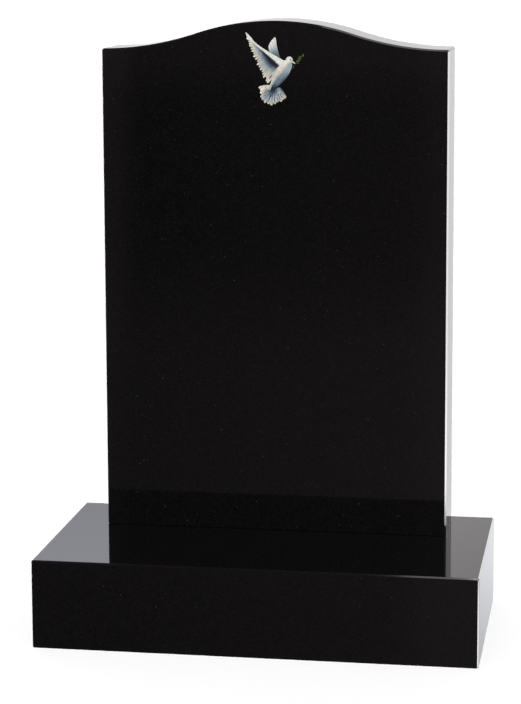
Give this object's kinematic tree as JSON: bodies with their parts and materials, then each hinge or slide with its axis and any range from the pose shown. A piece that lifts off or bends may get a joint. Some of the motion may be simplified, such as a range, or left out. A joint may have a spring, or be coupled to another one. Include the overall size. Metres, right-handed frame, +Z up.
{
  "type": "headstone",
  "caption": "Upright headstone that marks a grave: a polished black granite tablet with an ogee curved top, on a deep plain base.",
  "frame": {"origin": "middle of the underside, on the ground", "axes": "+Z up, +X along the width, and the faces of both stones look to -Y"},
  "size_m": [0.762, 0.4, 1.0593],
  "materials": {
    "base_granite": "polished",
    "tablet_granite": "polished",
    "picture_paint": "satin"
  },
  "bodies": {
    "root": {"base": "base_granite", "tablet": "tablet_granite"}
  },
  "joints": []
}
